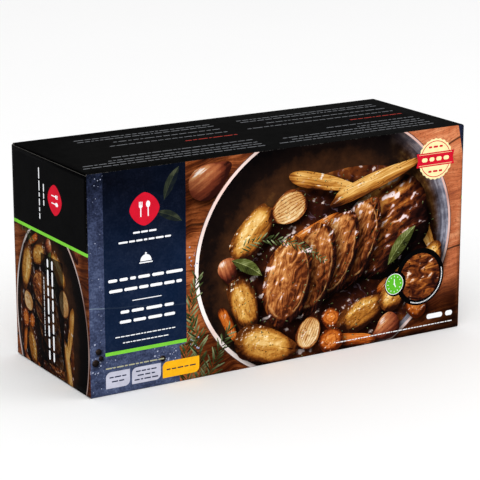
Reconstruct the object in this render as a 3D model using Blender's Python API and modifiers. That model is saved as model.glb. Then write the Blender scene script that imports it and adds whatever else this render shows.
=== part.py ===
# A shut folding carton for a ready meal: one closed solid, at its real size, in metres.
#
# Frame: the origin is at the middle of the base, +Z up. The long printed front faces -Y, the
# back +Y, and the two short ends are at -X and +X.
#
# The blank wraps round as front, top, back and bottom. Its glued seam is at the back of the base,
# where the back panel's cut edge lies over the fold of the base. Each end is shut by an outer
# flap hinged on the front panel. The flap lies over the folded-in flaps and stops a little
# short of the top, base and back.

import bmesh
import bpy

# Carton
carton_length = 0.260
carton_depth = 0.096
carton_height = 0.130

# Board
board = 0.0005
fold_width = 0.00045
fold_segments = 3
shortest_fold = 0.005

# How far a cut edge stops short of the fold beside it
flap_reveal = 0.0009
seam_reveal = 0.0009

# Cutters run past the carton by this much
overrun = 0.004

# Look
board_colour = (0.010, 0.012, 0.020, 1.0)
board_roughness = 0.36


def clear_scene():
    for item in list(bpy.data.objects):
        bpy.data.objects.remove(item, do_unlink=True)


def new_collection(name):
    collection = bpy.data.collections.new(name)
    bpy.context.scene.collection.children.link(collection)
    return collection


def move_to(item, collection):
    for owner in list(item.users_collection):
        owner.objects.unlink(item)
    collection.objects.link(item)


def make_material(name, colour, roughness):
    material = bpy.data.materials.new(name)
    material.use_nodes = True
    shader = material.node_tree.nodes["Principled BSDF"]
    shader.inputs["Base Color"].default_value = colour
    shader.inputs["Roughness"].default_value = roughness
    shader.inputs["Metallic"].default_value = 0.0
    return material


def add_block(name, collection, low, high):
    """Add a cube primitive that fills the box from low to high, with its scale applied."""
    middle = [(a + b) / 2 for a, b in zip(low, high)]
    bpy.ops.mesh.primitive_cube_add(size=1.0, location=middle)
    block = bpy.context.active_object
    block.name = name
    block.scale = [b - a for a, b in zip(low, high)]
    bpy.ops.object.transform_apply(location=True, rotation=False, scale=True)
    move_to(block, collection)
    return block


def mark_cutter(item):
    item.hide_render = True
    item.display_type = "WIRE"


def cut(item, cutter):
    """Take the cutter away from the item for good."""
    modifier = item.modifiers.new("cut", "BOOLEAN")
    modifier.operation = "DIFFERENCE"
    modifier.solver = "EXACT"
    modifier.object = cutter
    bpy.context.view_layer.objects.active = item
    bpy.ops.object.modifier_apply(modifier=modifier.name)


def add_end_cutter(side, collection):
    """Frame round the outer flap of one end: a slab of board less the flap, side -1 or +1."""
    half_length = carton_length / 2
    half_depth = carton_depth / 2
    face = side * (half_length - board)
    past = side * (half_length + overrun)
    frame = add_block(
        "end_frame_left" if side < 0 else "end_frame_right", collection,
        (min(face, past), -half_depth - overrun, -overrun),
        (max(face, past), half_depth + overrun, carton_height + overrun))
    inside = side * (half_length - 2 * board)
    outside = side * (half_length + 2 * overrun)
    flap = add_block(
        "flap_left" if side < 0 else "flap_right", collection,
        (min(inside, outside), -half_depth - 2 * overrun, flap_reveal),
        (max(inside, outside), half_depth - flap_reveal, carton_height - flap_reveal))
    cut(frame, flap)
    mark_cutter(flap)
    mark_cutter(frame)
    return frame


def add_seam_cutter(collection):
    """Strip below the back panel's cut edge, along the whole base."""
    half_length = carton_length / 2
    half_depth = carton_depth / 2
    strip = add_block(
        "seam_strip", collection,
        (-half_length - overrun, half_depth - board, -overrun),
        (half_length + overrun, half_depth + overrun, seam_reveal))
    mark_cutter(strip)
    return strip


def is_cut_edge_of_board(face):
    """True for the narrow faces that show the board's thickness."""
    spans = []
    for axis in range(3):
        places = [corner.co[axis] for corner in face.verts]
        spans.append(max(places) - min(places))
    return sorted(spans)[1] < 1.2 * board


def weigh_folds(item):
    """Give the folds a bevel weight, and leave the board's cut edges sharp."""
    mesh = bmesh.new()
    mesh.from_mesh(item.data)
    flat_angle = 0.01
    bmesh.ops.dissolve_limit(mesh, angle_limit=flat_angle, verts=mesh.verts, edges=mesh.edges)
    weight = mesh.edges.layers.float.new("bevel_weight_edge")
    corner_angle = 1.0
    for edge in mesh.edges:
        outward = edge.calc_face_angle_signed(0.0) > corner_angle
        cut_board = any(is_cut_edge_of_board(face) for face in edge.link_faces)
        is_fold = outward and not cut_board and edge.calc_length() > shortest_fold
        edge[weight] = 1.0 if is_fold else 0.0
    mesh.to_mesh(item.data)
    mesh.free()


def add_fold_bevel(item):
    bevel = item.modifiers.new("folds", "BEVEL")
    bevel.limit_method = "WEIGHT"
    bevel.width = fold_width
    bevel.segments = fold_segments
    bevel.use_clamp_overlap = True


def build_carton():
    parts = new_collection("ready_meal_carton")
    cutters = new_collection("cutters")
    half_length = carton_length / 2
    half_depth = carton_depth / 2
    carton = add_block(
        "carton", parts,
        (-half_length, -half_depth, 0.0),
        (half_length, half_depth, carton_height))
    for side in (-1, 1):
        cut(carton, add_end_cutter(side, cutters))
    cut(carton, add_seam_cutter(cutters))
    weigh_folds(carton)
    add_fold_bevel(carton)
    carton.data.materials.append(
        make_material("printed_board", board_colour, board_roughness))
    return carton


clear_scene()
build_carton()
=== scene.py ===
import math
import random
from types import SimpleNamespace

import bmesh
import bpy
import numpy as np
from mathutils import Matrix, Vector
from mathutils.geometry import delaunay_2d_cdt


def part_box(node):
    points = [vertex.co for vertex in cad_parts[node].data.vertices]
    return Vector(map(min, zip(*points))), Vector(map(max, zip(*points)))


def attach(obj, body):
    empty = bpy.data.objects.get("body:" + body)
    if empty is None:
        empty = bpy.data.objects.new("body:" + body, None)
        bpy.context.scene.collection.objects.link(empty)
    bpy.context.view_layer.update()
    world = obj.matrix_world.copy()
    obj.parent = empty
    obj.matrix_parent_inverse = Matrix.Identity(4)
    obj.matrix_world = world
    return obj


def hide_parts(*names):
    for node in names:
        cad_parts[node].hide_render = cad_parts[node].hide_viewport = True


# A shut carton for a ready meal. Each folded panel is one sheet of board whose print is cut into
# fields of ink along their outlines. Places on a face are in millimetres from its top left corner.

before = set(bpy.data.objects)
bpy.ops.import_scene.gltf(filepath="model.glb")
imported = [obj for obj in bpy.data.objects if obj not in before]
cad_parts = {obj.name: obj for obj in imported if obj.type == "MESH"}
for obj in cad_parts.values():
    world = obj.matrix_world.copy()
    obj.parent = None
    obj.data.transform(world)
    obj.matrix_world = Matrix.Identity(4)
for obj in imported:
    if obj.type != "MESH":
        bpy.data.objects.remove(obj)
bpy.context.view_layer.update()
print("frame: loaded")

mm = 0.001
closeBy = 1e-4               # places nearer than this, in millimetres, are one place
low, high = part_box("carton")
span = high - low


# Node helpers, for shaders and for Geometry Nodes

class Signal:
    # A node's output that takes Python's operators, each of which adds a Math node
    def __init__(self, book, socket):
        self.book = book
        self.socket = socket

    def __add__(self, other):
        return self.book.maths("ADD", self, other)

    def __sub__(self, other):
        return self.book.maths("SUBTRACT", self, other)

    def __rsub__(self, other):
        return self.book.maths("SUBTRACT", other, self)

    def __mul__(self, other):
        return self.book.maths("MULTIPLY", self, other)

    def __truediv__(self, other):
        return self.book.maths("DIVIDE", self, other)

    def __abs__(self):
        return self.book.maths("ABSOLUTE", self)

    __radd__ = __add__
    __rmul__ = __mul__


class Book:
    # One node tree, and the ways of adding to it
    def __init__(self, tree):
        self.tree = tree

    def add(self, kind, sockets=None, out=0, stops=None, **settings):
        node = self.tree.nodes.new(kind)
        for name, value in settings.items():
            setattr(node, name, value)
        for index, (place, *colour) in enumerate(stops or ()):
            stop = node.color_ramp.elements[index] if index < 2 else node.color_ramp.elements.new(place)
            stop.position = place
            stop.color = ink(*colour)
        for key, value in (sockets or {}).items():
            if isinstance(value, Signal):
                self.tree.links.new(value.socket, node.inputs[key])
            else:
                node.inputs[key].default_value = value
        return Signal(self, node.outputs[out]) if node.outputs else None

    def also(self, signal, out):
        # Another output of the same node
        return Signal(self, signal.socket.node.outputs[out])

    def maths(self, operation, *values):
        return self.add("ShaderNodeMath", dict(enumerate(values)), operation=operation)

    def vector(self, operation, *values):
        out = 1 if operation in ("LENGTH", "DOT_PRODUCT") else 0
        return self.add("ShaderNodeVectorMath", dict(enumerate(values)), out, operation=operation)

    def reach(self, q):
        return self.vector("LENGTH", q)

    def parts(self, value, kind="XYZ"):
        first = self.add("ShaderNodeSeparate" + kind, {0: value})
        return [self.also(first, out) for out in range(3)]

    def join(self, x, y, z=0.0):
        return self.add("ShaderNodeCombineXYZ", {0: x, 1: y, 2: z})

    def mix(self, share, under, over, blend="MIX"):
        # Plain colours are given as on a screen
        under, over = [ink(*c) if isinstance(c, tuple) else c for c in (under, over)]
        return self.add("ShaderNodeMix", {0: share, 6: under, 7: over}, 2, data_type="RGBA",
                        blend_type=blend)

    def smooth(self, value, start, stop, most=1.0, least=0.0):
        # Goes from the least to the most as the value goes from start to stop
        return self.add("ShaderNodeMapRange", {0: value, 1: start, 2: stop, 3: least, 4: most},
                        interpolation_type="SMOOTHSTEP")

    def cover(self, colour, over, value, start, stop, most=1.0, blend="MIX"):
        # Brings in a second colour as the value goes from start to stop
        return self.mix(self.smooth(value, start, stop, most), colour, over, blend)

    def ramp(self, value, *stops):
        return self.add("ShaderNodeValToRGB", {0: value}, stops=stops)

    def noise(self, at, scale, detail=2.0, roughness=0.5, distortion=0.0):
        # About -0.5 to 0.5
        return self.add("ShaderNodeTexNoise", {
            "Vector": at, "Scale": scale, "Detail": detail, "Roughness": roughness,
            "Distortion": distortion}) - 0.5

    def cells(self, at, scale):
        # Distance from the nearest of many scattered points, and a chance of that point's own
        near = self.add("ShaderNodeTexVoronoi", {"Vector": at, "Scale": scale}, voronoi_dimensions="2D")
        return near, self.parts(self.also(near, 1), "Color")[0]

    def locate(self, at, turn, radii=(1.0, 1.0), centre=(0.0, 0.0)):
        # Place along axes of their own
        return self.add("ShaderNodeMapping", {
            "Vector": at, "Location": (*centre, 0.0), "Rotation": (0.0, 0.0, math.radians(turn)),
            "Scale": (*radii, 1.0)}, vector_type="TEXTURE")


def ink(red, green, blue):
    # A colour given as on a screen, 0 to 255, turned into light
    shares = [channel / 255 for channel in (red, green, blue)]
    return tuple(
        s / 12.92 if s <= 0.04045 else ((s + 0.055) / 1.055) ** 2.4 for s in shares) + (1.0,)


# Outlines

def placed(points, centre, radii=(1.0, 1.0), turn=0.0):
    angle = math.radians(turn)
    cosine, sine = math.cos(angle), math.sin(angle)
    return [
        (centre[0] + x * radii[0] * cosine - y * radii[1] * sine,
         centre[1] + x * radii[0] * sine + y * radii[1] * cosine) for x, y in points]


def roundOutline(steps=32, wobble=0.0, seed=0, form=None):
    # A ring of points one unit from the middle, more or less, as the form changes them
    chance = random.Random(seed)
    waves = [(k, chance.uniform(0, math.tau), wobble * chance.uniform(0.5, 1.0) / math.sqrt(k))
             for k in range(2, 8)]
    points = []
    for step in range(steps):
        angle = math.tau * step / steps
        reach = 1 + sum(size * math.sin(k * angle + phase) for k, phase, size in waves)
        x, y = reach * math.cos(angle), reach * math.sin(angle)
        points.append(form(x, y) if form else (x, y))
    return points


def boxOutline(left, top, right, bottom, corners=0.0, steps=3):
    # Corner radii are one number, or four from the top left, clockwise
    corners = corners if isinstance(corners, tuple) else (corners,) * 4
    points = []
    spots = [(left, top, 1, 1), (right, top, -1, 1), (right, bottom, -1, -1), (left, bottom, 1, -1)]
    for number, (radius, (x, y, wayX, wayY)) in enumerate(zip(corners, spots)):
        if radius == 0:
            points.append((x, y))
            continue
        for step in range(steps + 1):
            angle = math.radians(180 + 90 * number + 90 * step / steps)
            points.append((x + wayX * radius + radius * math.cos(angle),
                           y + wayY * radius + radius * math.sin(angle)))
    return points


def power(value, share):
    return math.copysign(abs(value) ** share, value)


# Sheets of print, folded round the carton

carton = {
    "board": 0.5,            # thickness of the boxboard, and all in millimetres
    "fold": 0.6,             # outer radius of a fold
    "foldSteps": 5,
    "reveal": 0.9,           # how far an end flap stops short of the folds beside it
    "tuck": 2.0,             # how far the inner flaps run behind the outer one
    "skin": 0.02,            # room between the board and the frame's box
    "gap": 0.03,             # room between the end flap and the board behind it
    "tuckRoom": 0.2,         # between an inner flap's end and the fold beside it
}
faces = {
    # top left corner as seen from outside, the ways of its right and its down, the axis along
    # which its board bends, and how much deeper its last fold lies
    "front": ((low.x, low.y, high.z), (1, 0, 0), (0, 0, -1), 1, 0.0),
    "back": ((high.x, high.y, high.z), (-1, 0, 0), (0, 0, -1), 1, 0.0),
    "top": ((low.x, high.y, high.z), (1, 0, 0), (0, -1, 0), 1, 0.0),
    "base": ((low.x, low.y, low.z), (1, 0, 0), (0, 1, 0), 1, carton["board"] + carton["gap"]),
    "left": ((low.x, high.y, high.z), (0, -1, 0), (0, 0, -1), 0, 0.0),
    "right": ((high.x, low.y, high.z), (0, 1, 0), (0, 0, -1), 0, 0.0),
}
picture = {
    "light": (-0.50, -0.58, 0.64),
    "pan": ((160.0, 64.0), (91.5, 79.0), -8.0),      # centre, radii and turn
    "rim": 1.9,
    "pool": ((168.0, 76.0), (76.0, 58.0), -8.0),
    "crumbs": [
        # ink, least distance apart, density, sizes, seed, slimness
        ("smoke", 2.4, 0.035, (0.3, 0.9), 3), ("needle", 3.0, 0.02, (0.8, 2.2), 8, 0.3)],
    "grid": 2.6,             # spacing of the points that carry the shadows
    "shadowEnd": 1.12,       # in a shadow's own radii
    "ownStep": 0.618,        # from one layer's own number to the next, which stay below 1
    "leastReach": 0.2,       # of the axes that a small mark gets
}
bakeMap = {                  # each panel's own square for the bake
    "margin": 0.002,
    "print": (0.998, 0.95),  # top and height of a band
    "inside": (0.016, 0.012),
    "edge": (0.022, 0.034),  # bottom and top
}


class Sheet:
    # The print on one face. Outlines are laid on it from the back to the front. The board is then
    # cut along all of them, and each bit takes the ink that lies on top.
    def __init__(self, face, ground):
        corner, right, down, self.bends, behind = faces[face]
        self.corner, self.right, self.down = Vector(corner), Vector(right), Vector(down)
        self.size = [abs(round(way.dot(span) / mm, 3)) for way in (self.right, self.down)]
        edge = carton["skin"] + carton["fold"]
        self.creases = (edge, self.size[self.bends] - edge - behind)     # where it starts to bend
        self.layers = []     # ink, outline on the face, the axes of the ink's own place, the move
        self.shadows = []
        self.films = {}      # layers that only darken what is below them
        self.move = Matrix.Identity(3)       # from the design to the face
        self.lay(ground, boxOutline(0, 0, *self.size))

    def lay(self, name, outline, centre=(0.0, 0.0), radii=(1.0, 1.0), turn=0.0):
        moved = [(self.move @ Vector((x, y, 1.0))).to_2d() for x, y in outline]
        if sum(a.cross(b) for a, b in zip(moved, moved[1:] + moved[:1])) < 0:
            moved.reverse()
        self.layers.append((name, moved, centre, radii, turn, self.move))

    def stamp(self, name, outline, centre, radii=1.0, turn=0.0):
        # Lays an outline that is given in its own axes, one unit round
        radii = radii if isinstance(radii, tuple) else (radii, radii)
        self.lay(name, placed(outline, centre, radii, turn), centre, radii, turn)

    def disc(self, name, centre, radius, steps=48):
        self.stamp(name, roundOutline(steps), centre, radius)

    def box(self, name, *measures):
        self.lay(name, boxOutline(*measures))

    def film(self, measures, dark):
        self.films[len(self.layers)] = dark
        self.box(None, *measures)

    def drop(self, centre, radii, turn=0.0, dark=0.85, shift=(2.4, 3.2), spread=1.18, soft=0.42):
        # A soft shadow on all that lies below so far
        middle = (centre[0] + shift[0], centre[1] + shift[1])
        wide = (radii[0] * spread, radii[1] * spread)
        self.shadows.append((len(self.layers), middle, wide, turn, dark, soft, self.move))

    def grow(self, name, tree, mesh=None, centre=(0.0, 0.0), **values):
        # Runs a tree of Geometry Nodes and lays each polygon that it makes, where y runs up
        host = addPiece(tree + "Host", mesh or bpy.data.meshes.new(tree + "Start"))
        modifier = host.modifiers.new(tree, "NODES")
        modifier.node_group = trees[tree]
        values["material"] = finish[name]
        for item in trees[tree].interface.items_tree:
            if item.in_out == "INPUT" and item.name in values:
                modifier[item.identifier] = values[item.name]
        depsgraph = bpy.context.evaluated_depsgraph_get()
        made = bpy.data.meshes.new_from_object(host.evaluated_get(depsgraph), depsgraph=depsgraph)
        bpy.data.objects.remove(host)
        made.transform(Matrix.Translation((centre[0], -centre[1], 0.0)))
        places = [(vertex.co.x, -vertex.co.y) for vertex in made.vertices]
        for polygon in made.polygons:
            outline = [places[index] for index in polygon.vertices]
            middle = np.mean(outline, axis=0)
            reach = max(picture["leastReach"], float(np.abs(outline - middle).max()))
            self.lay(name, outline, tuple(middle), (reach, reach))
        bpy.data.meshes.remove(made)

    def words(self, name, rows, height, seed, shortest=1.6, longest=6.0, space=1.0):
        # Rows are given by their left end, their middle's height and their right end
        mesh = bpy.data.meshes.new("rowStarts")
        mesh.from_pydata([(left, -y, 0.0) for left, y, _ in rows], [], [])
        lengths = mesh.attributes.new("rowLength", "FLOAT", "POINT")
        for item, (left, _, right) in zip(lengths.data, rows):
            item.value = right - left
        self.grow(name, "wordRows", mesh, barHeight=height, shortest=shortest, longest=longest,
                  space=space, seed=seed)

    def crumbs(self, name, outline, apart, density, sizes, seed, slim=0.8):
        mesh = bpy.data.meshes.new("crumbField")
        mesh.from_pydata([(x, -y, 0.0) for x, y in outline], [], [list(range(len(outline)))])
        self.grow(name, "crumbs", mesh, apart=apart, density=density, least=sizes[0], most=sizes[1],
                  slim=slim, seed=seed)

    def fold(self, x, y):
        # Carries a place on the flat print to the folded board: its point, and the way out of it
        place, (near, far), radius, axis = [x, y], self.creases, carton["fold"], self.bends
        way = out = self.down.cross(self.right)
        sink = carton["skin"]
        beyond = max(near - place[axis], place[axis] - far)
        if beyond > 0:
            side = -1 if place[axis] < near else 1
            angle = min(beyond / radius, math.pi / 2)
            place[axis] = (near if side < 0 else far) + side * radius * math.sin(angle)
            sink += radius * (1 - math.cos(angle)) + beyond - radius * angle
            way = out * math.cos(angle) + (self.right, self.down)[axis] * side * math.sin(angle)
        return self.corner + (self.right * place[0] + self.down * place[1] - out * sink) * mm, way

    def foldLines(self, start, stop):
        # Where the print is creased, within a range along the axis that bends
        step = carton["fold"] * math.pi / 4 / carton["foldSteps"]
        lines = [crease + side * step * count for crease, side in zip(self.creases, (-1, 1))
                 for count in range(2 * carton["foldSteps"] + 1)]
        return [line for line in lines if start + step / 2 < line < stop - step / 2]

    def build(self, name, extent):
        x0, y0, x1, y1 = extent
        lines = self.foldLines(extent[self.bends], extent[self.bends + 2])
        corners, edges, outlines = [], [], []
        for outline in [boxOutline(*extent)] + [layer[1] for layer in self.layers[1:]]:
            outlines.append(list(range(len(corners), len(corners) + len(outline))))
            corners.extend(Vector(point) for point in outline)
        for line in lines:
            edges.append((len(corners), len(corners) + 1))
            ends = [(x0, line), (x1, line)] if self.bends else [(line, y0), (line, y1)]
            corners.extend(Vector(point) for point in ends)
        if self.shadows:
            grid = picture["grid"]
            for row in range(1, int((y1 - y0) / grid)):
                for column in range(1, int((x1 - x0) / grid)):
                    corners.append(Vector((x0 + (column + row % 2 * 0.5) * grid, y0 + row * grid)))
        places, _, triangles, _, _, owners = delaunay_2d_cdt(corners, edges, outlines, 1, closeBy)
        kept = []
        for triangle, own in zip(triangles, owners):
            if 0 in own:
                top = max(k for k in own if k not in self.films)
                films = [dark for k, dark in self.films.items() if k in own and k > top]
                kept.append((triangle, top, math.prod(1 - dark for dark in films)))
        kept = [np.array(column) for column in zip(*kept)]
        self.makeMesh(name, extent, lines, np.array([p[:] for p in places]), *kept)

    def printData(self, places, triangles, layer, veils):
        # For each corner: its place in the design and in its ink's own axes, and what is cast on it
        centre, radii, turn = [np.array([l[k] for l in self.layers])[layer][:, None] for k in (2, 3, 4)]
        turn = np.radians(turn)
        back = np.array([l[5].inverted() for l in self.layers])[layer]
        design = np.einsum("nij,nkj->nki", back[:, :2, :2], places[triangles]) + back[:, None, :2, 2]
        own = inAxes(design - centre, turn) / radii
        shade = np.ones(triangles.shape) * veils[:, None]
        for level, middle, wide, lean, dark, soft, move in self.shadows:
            back = np.array(move.inverted())
            reach = places @ back[:2, :2].T + back[:2, 2] - np.array(middle)
            reach = np.hypot(*(inAxes(reach, math.radians(lean)) / wide).T)
            share = np.clip((picture["shadowEnd"] - reach) / soft, 0, 1)
            share = 1 - dark * share * share * (3 - 2 * share)
            below = layer < level
            shade[below] *= share[triangles[below]]
        lightX, lightY, _ = picture["light"]
        bearing = math.atan2(lightY, lightX) - turn + shade * 0
        seed = (layer * picture["ownStep"])[:, None] % 1.0 + shade * 0
        return design, own, np.stack([shade, bearing, seed], axis=2)

    def makeMesh(self, name, extent, lines, places, triangles, layer, veils):
        x0, y0, x1, y1 = extent
        *marks, cast = self.printData(places, triangles, layer, veils)
        names = sorted({self.layers[k][0] for k in layer})
        mesh = bmesh.new()
        bake, *maps = [mesh.loops.layers.uv.new(key) for key in ("OFBake", "print", "own")]
        castMap = mesh.loops.layers.float_vector.new("cast")
        folded = [self.fold(x, y) for x, y in places]
        outer = {k: mesh.verts.new(folded[k][0]) for k in sorted(set(triangles.flat))}
        margin, room = bakeMap["margin"], 1 - 2 * bakeMap["margin"]

        def spot(k, band):
            top, tall = bakeMap[band]
            x, y = places[k]
            return margin + room * (x - x0) / (x1 - x0), top - tall * (y - y0) / (y1 - y0)

        def addFace(verts, spots, slot):
            face = mesh.faces.new(verts)
            face.material_index = slot
            for loop, place in zip(face.loops, spots):
                loop[bake].uv = place
            return face

        border = {}
        for count, (a, b, c) in enumerate(triangles):
            face = addFace([outer[k] for k in (c, b, a)], [spot(k, "print") for k in (c, b, a)],
                           names.index(self.layers[layer[count]][0]))
            face.smooth = True
            for loop, k in zip(face.loops, (2, 1, 0)):
                for key, values in zip(maps, marks):
                    loop[key].uv = values[count, k]
                loop[castMap] = cast[count, k]
            for pair in ((a, b), (b, c), (c, a)):
                if not border.pop(pair[::-1], False):
                    border[pair] = True
        rim = sorted({k for pair in border for k in pair})
        inner = {k: mesh.verts.new(folded[k][0] - folded[k][1] * carton["board"] * mm) for k in rim}
        for corners in self.backTriangles(lines, places, rim, border):
            addFace([inner[k] for k in corners], [spot(k, "inside") for k in corners], len(names))
        for i, j in border:
            starts = [margin + room * (sum(places[k]) - x0 - y0) / (x1 - x0 + y1 - y0) for k in (i, j)]
            spots = [(x, y) for xs, y in zip((starts, starts[::-1]), bakeMap["edge"]) for x in xs]
            addFace((outer[i], outer[j], inner[j], inner[i]), spots, len(names))
        settle(addPiece(name, mesh, [finish[key] for key in names] + [finish["bare"]]))
        print("sheet:", name, len(triangles), "printed triangles,", len(names), "inks")

    def backTriangles(self, lines, places, rim, border):
        # The side without print needs only the rim's points and the fold lines between them
        number = {k: count for count, k in enumerate(rim)}
        edges = [(number[a], number[b]) for a, b in border]
        for line in lines:
            ends = [k for k in rim if abs(places[k][self.bends] - line) < closeBy]
            ends.sort(key=lambda k: places[k][1 - self.bends])
            edges.append((number[ends[0]], number[ends[-1]]))
        made = delaunay_2d_cdt([Vector(places[k]) for k in rim], edges, [], 1, closeBy / 10)
        back = [rim[sources[0]] for sources in made[3]]
        return [[back[k] for k in triangle] for triangle in made[2]]


def inAxes(offset, turn):
    # Offsets as measured along axes that are turned
    cosine, sine = np.cos(turn), np.sin(turn)
    return np.stack([
        offset[..., 0] * cosine + offset[..., 1] * sine,
        offset[..., 1] * cosine - offset[..., 0] * sine], axis=-1)


def addPiece(name, mesh, materials=()):
    if isinstance(mesh, bmesh.types.BMesh):
        made, mesh = mesh, bpy.data.meshes.new(name)
        made.to_mesh(mesh)
        made.free()
    for material in materials:
        mesh.materials.append(material)
    piece = bpy.data.objects.new(name, mesh)
    bpy.context.scene.collection.objects.link(piece)
    return piece


def settle(piece):
    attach(piece, "root")


# Flat shapes that repeat, made by Geometry Nodes in the plane of the print, with y up

trees = {}


def newTree(name, **inputs):
    # Inputs are given with their usual values
    kinds = {int: "Int", float: "Float", tuple: "Vector", type(None): "Material"}
    tree = trees[name] = bpy.data.node_groups.new(name, "GeometryNodeTree")
    for way in ("OUTPUT", "INPUT"):
        tree.interface.new_socket("Geometry", in_out=way, socket_type="NodeSocketGeometry")
    for label, value in {**inputs, "material": None}.items():
        kind = "NodeSocket" + kinds[type(value)]
        socket = tree.interface.new_socket(label, in_out="INPUT", socket_type=kind)
        if value is not None:
            socket.default_value = value
    book = Book(tree)
    given = tree.nodes.new("NodeGroupInput").outputs
    return book, SimpleNamespace(**{item.name: Signal(book, item) for item in given if item.name})


def closeTree(book, geometry, given):
    inked = book.add("GeometryNodeSetMaterial", {0: geometry, 2: given.material})
    book.add("NodeGroupOutput", {0: inked})


def named(book, name, kind="FLOAT"):
    return book.add("GeometryNodeInputNamedAttribute", {0: name}, data_type=kind)


def store(book, geometry, name, value, kind="FLOAT"):
    return book.add("GeometryNodeStoreNamedAttribute", {0: geometry, 2: name, 3: value},
                    data_type=kind, domain="POINT")


def roundMark(book, sides, lean=0.0, aside=0.0):
    disc = book.add("GeometryNodeMeshCircle", {0: sides, 1: 0.5}, fill_type="NGON")
    return book.add("GeometryNodeTransform", {
        0: disc, 1: (aside, 0.0, 0.0), 2: (0.0, 0.0, math.radians(lean))})


def scattered(book, points, mark, angle, scale):
    turn = book.add("FunctionNodeEulerToRotation", {0: book.join(0.0, 0.0, angle)})
    made = book.add("GeometryNodeInstanceOnPoints", {0: points, 2: mark, 5: turn, 6: scale})
    return book.add("GeometryNodeRealizeInstances", {0: made})


def chanceOf(book, least, most, seed):
    return book.add("FunctionNodeRandomValue", {2: least, 3: most, 8: seed}, 1, data_type="FLOAT")


def wordRowsTree():
    # Rows of bars as long as words, where each vertex of the mesh given is the start of a row
    book, given = newTree("wordRows", barHeight=1.0, shortest=1.6, longest=6.0, space=1.0, seed=0)
    height, space = given.barHeight, given.space
    rows = store(book, given.Geometry, "row", book.add("GeometryNodeInputIndex"), "INT")
    length = named(book, "rowLength")
    usual = (given.shortest + given.longest) * 0.5 + space
    amount = book.maths("MAXIMUM", book.maths("ROUND", length / (usual * height)), 1.0)
    words = book.add("GeometryNodeDuplicateElements", {0: rows, 2: amount}, domain="POINT")
    width = chanceOf(book, given.shortest, given.longest, given.seed)
    running = book.add(
        "GeometryNodeAccumulateField", {0: width + space, 1: named(book, "row", "INT")}, 1,
        data_type="FLOAT", domain="POINT")
    stretch = length / (book.also(running, 2) - space)
    middle = (running + width * 0.5) * stretch
    words = store(book, words, "wordWidth", width * stretch)
    words = store(book, words, "middle", middle)
    words = book.add("GeometryNodeSetPosition", {0: words, 3: book.join(named(book, "middle"), 0.0)})
    mark = roundMark(book, 12, 15.0)
    across = book.parts(book.add("GeometryNodeInputPosition"))[0]
    mark = store(book, mark, "side", book.maths("SIGN", across))
    bars = scattered(book, words, mark, 0.0, book.join(height, height, 1.0))
    reach = named(book, "side") * (named(book, "wordWidth") - height) * 0.5
    bars = book.add("GeometryNodeSetPosition", {0: bars, 3: book.join(reach, 0.0)})
    closeTree(book, bars, given)


def ringMarksTree():
    # Marks along an arc, each pointing away from its centre
    book, given = newTree("ringMarks", count=12, radius=5.0, start=0.0, sweep=360.0, long=1.0, wide=0.4)
    turn = given.start + given.sweep * book.add("GeometryNodeInputIndex") / given.count
    angle = book.maths("RADIANS", turn)
    spot = book.join(book.maths("COSINE", angle), book.maths("SINE", angle))
    spot = book.vector("MULTIPLY", spot, book.join(given.radius, given.radius))
    points = book.add("GeometryNodePoints", {0: given.count, 1: spot})
    points = store(book, points, "angle", angle)
    size = book.join(given.long, given.wide, 1.0)
    marks = scattered(book, points, roundMark(book, 10, 18.0), named(book, "angle"), size)
    closeTree(book, marks, given)


def sprigTree():
    # Needles on both sides of a bent stem
    book, given = newTree(
        "sprig", start=(0.0, 0.0, 0.0), middle=(20.0, 4.0, 0.0), end=(40.0, 0.0, 0.0), needles=60,
        long=8.0, wide=1.1, slant=36.0, seed=0)
    stem = book.add("GeometryNodeCurveQuadraticBezier", {
        0: 24, 1: given.start, 2: given.middle, 3: given.end})
    stem = book.add("GeometryNodeResampleCurve", {0: stem, 2: given.needles})
    tangentX, tangentY, _ = book.parts(book.add("GeometryNodeInputTangent"))
    hand = book.maths("MODULO", book.add("GeometryNodeInputIndex"), 2.0) * 2.0 - 1.0
    slant = book.maths("RADIANS", given.slant) * chanceOf(book, 0.6, 1.45, given.seed)
    share = book.add("GeometryNodeSplineParameter")
    long = given.long * chanceOf(book, 0.7, 1.15, given.seed + 7.0)
    long = long * (1.0 - share * share * 0.45)
    stem = store(book, stem, "angle", book.maths("ARCTAN2", tangentY, tangentX) + hand * slant)
    stem = store(book, stem, "long", long)
    size = book.join(named(book, "long"), given.wide, 1.0)
    blade = roundMark(book, 10, aside=0.5)
    closeTree(book, scattered(book, stem, blade, named(book, "angle"), size), given)


def crumbsTree():
    # Small uneven bits, spread over the polygons given
    book, given = newTree("crumbs", apart=1.5, density=0.1, least=0.3, most=0.9, slim=1.0, seed=0)
    points = book.add("GeometryNodeDistributePointsOnFaces", {
        0: given.Geometry, 2: given.apart, 3: given.density, 6: given.seed},
        distribute_method="POISSON")
    size = chanceOf(book, given.least, given.most, given.seed)
    turn = chanceOf(book, 0.0, math.tau, given.seed + 3.0)
    bits = scattered(book, points, roundMark(book, 7), turn, book.join(size, size * given.slim, 1.0))
    closeTree(book, bits, given)


wordRowsTree()
ringMarksTree()
sprigTree()
crumbsTree()
print("trees:", len(trees))


# Finishes

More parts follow.
